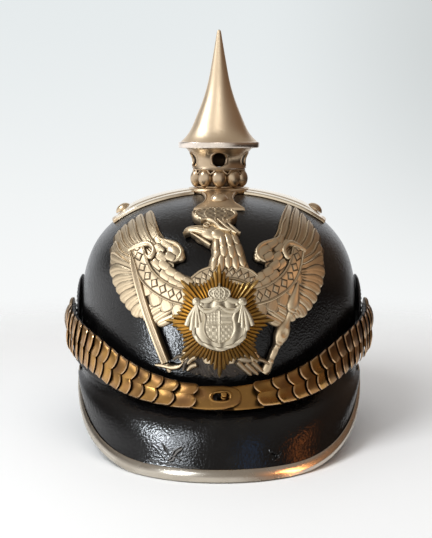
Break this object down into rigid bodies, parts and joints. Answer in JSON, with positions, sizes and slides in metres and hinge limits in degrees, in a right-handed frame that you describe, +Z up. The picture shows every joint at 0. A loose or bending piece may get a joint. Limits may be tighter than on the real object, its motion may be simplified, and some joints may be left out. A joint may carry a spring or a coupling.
{
  "type": "spiked leather dress helmet",
  "caption": "Black lacquered leather dress helmet with a tall metal spike, a heraldic eagle front plate, a metal-edged peak and a chin strap of overlapping scales.",
  "frame": {"origin": "middle of the footprint, on the table that both peaks rest on", "axes": "+Z up along the spike, -Y to the front peak and the eagle plate, +X to the right of someone who looks at the plate"},
  "size_m": [0.2142, 0.3179, 0.2688],
  "materials": {
    "black_leather": "glossy lacquered leather, fine grain, worn",
    "pale_gilt": "satin pale gilt, lightly tarnished",
    "deep_gilt": "worn orange gilt",
    "star_gilt": "bright gilt",
    "silver": "worn silver plate",
    "black_lacquer": "black lacquer, semi-gloss"
  },
  "bodies": {
    "root": {"breast_star": "star_gilt", "clasp_plate": "deep_gilt", "clasp_stud": "deep_gilt", "clasp_tongue": "deep_gilt", "cockade_left": "black_lacquer", "cockade_right": "black_lacquer", "cross_base": "pale_gilt", "cross_stud_front": "pale_gilt", "cross_stud_left": "pale_gilt", "cross_stud_rear": "pale_gilt", "cross_stud_right": "pale_gilt", "eagle_plate": "pale_gilt", "front_visor": "black_leather", "pearl_ring": "pale_gilt", "rear_spine": "pale_gilt", "rear_visor": "black_leather", "rosette_left": "deep_gilt", "rosette_right": "deep_gilt", "scale_left_01": "deep_gilt", "scale_left_02": "deep_gilt", "scale_left_03": "deep_gilt", "scale_left_04": "deep_gilt", "scale_left_05": "deep_gilt", "scale_left_06": "deep_gilt", "scale_left_07": "deep_gilt", "scale_left_08": "deep_gilt", "scale_left_09": "deep_gilt", "scale_left_10": "deep_gilt", "scale_left_11": "deep_gilt", "scale_left_12": "deep_gilt", "scale_left_13": "deep_gilt", "scale_left_14": "deep_gilt", "scale_left_15": "deep_gilt", "scale_left_16": "deep_gilt", "scale_right_01": "deep_gilt", "scale_right_02": "deep_gilt", "scale_right_03": "deep_gilt", "scale_right_04": "deep_gilt", "scale_right_05": "deep_gilt", "scale_right_06": "deep_gilt", "scale_right_07": "deep_gilt", "scale_right_08": "deep_gilt", "scale_right_09": "deep_gilt", "scale_right_10": "deep_gilt", "scale_right_11": "deep_gilt", "scale_right_12": "deep_gilt", "scale_right_13": "deep_gilt", "scale_right_14": "deep_gilt", "scale_right_15": "deep_gilt", "skull": "black_leather", "spike": "pale_gilt", "star_arms": "silver", "strap_leather_left": "black_leather", "strap_leather_right": "black_leather", "vent_neck": "pale_gilt", "visor_trim": "pale_gilt"}
  },
  "joints": []
}
